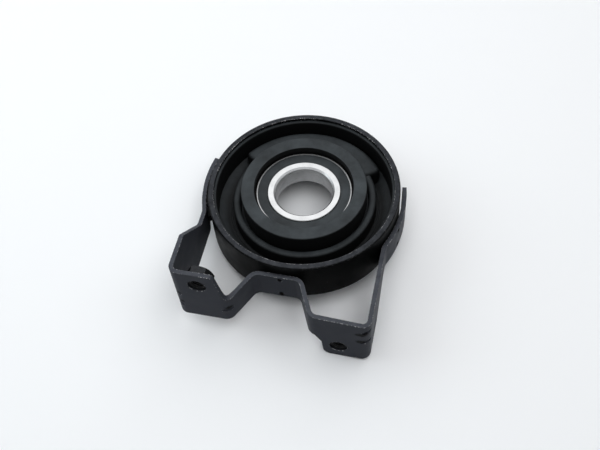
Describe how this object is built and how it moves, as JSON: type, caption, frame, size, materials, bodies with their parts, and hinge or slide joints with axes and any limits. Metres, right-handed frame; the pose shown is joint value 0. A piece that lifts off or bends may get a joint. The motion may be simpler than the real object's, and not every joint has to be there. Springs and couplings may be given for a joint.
{
  "type": "driveshaft centre bearing",
  "caption": "Sealed ball bearing held by a rubber diaphragm in a round steel sleeve, on a folded strap bracket with offset threaded feet, carrying the middle of a driveshaft.",
  "frame": {"origin": "middle of the bearing, on the axis of its bore", "axes": "+Z along the shaft axis towards the rolled rim of the sleeve, +X from the left foot to the right foot, +Y from the feet to the sleeve"},
  "size_m": [0.1238, 0.1397, 0.0655],
  "materials": {
    "bracket_paint": "satin black paint over folded sheet",
    "sleeve_paint": "satin black paint, lighter along the rolled rim",
    "nut_steel": "dark phosphated steel",
    "rubber": "matte moulded rubber",
    "seal_rubber": "matte",
    "seat_steel": "plain pressed steel",
    "ring_steel": "fine ground",
    "cage_steel": "pressed sheet",
    "ball_steel": "polished"
  },
  "bodies": {
    "housing": {"mount_bracket": "bracket_paint", "outer_sleeve": "sleeve_paint", "left_weld_nut": "nut_steel", "right_weld_nut": "nut_steel", "rubber_diaphragm": "rubber", "bearing_seat": "seat_steel", "outer_ring": "ring_steel", "front_seal": "seal_rubber", "rear_seal": "seal_rubber"},
    "inner_ring": {"inner_ring": "ring_steel"},
    "ball_cage": {"front_cage": "cage_steel", "rear_cage": "cage_steel", "cage_rivets": "cage_steel", "ball_1": "ball_steel", "ball_2": "ball_steel", "ball_3": "ball_steel", "ball_4": "ball_steel", "ball_5": "ball_steel", "ball_6": "ball_steel", "ball_7": "ball_steel", "ball_8": "ball_steel", "ball_9": "ball_steel", "ball_10": "ball_steel", "ball_11": "ball_steel"}
  },
  "joints": [
    {"name": "inner_ring_spin", "type": "hinge", "parent": "housing", "child": "inner_ring", "pos_m": [0, 0, 0], "axis": [0, 0, 1], "continuous": true},
    {"name": "ball_cage_spin", "type": "hinge", "parent": "housing", "child": "ball_cage", "pos_m": [0, 0, 0], "axis": [0, 0, 1], "continuous": true}
  ],
  "couplings": [
    {"joint": "ball_cage_spin", "follows": "inner_ring_spin", "ratio": 0.4184}
  ]
}
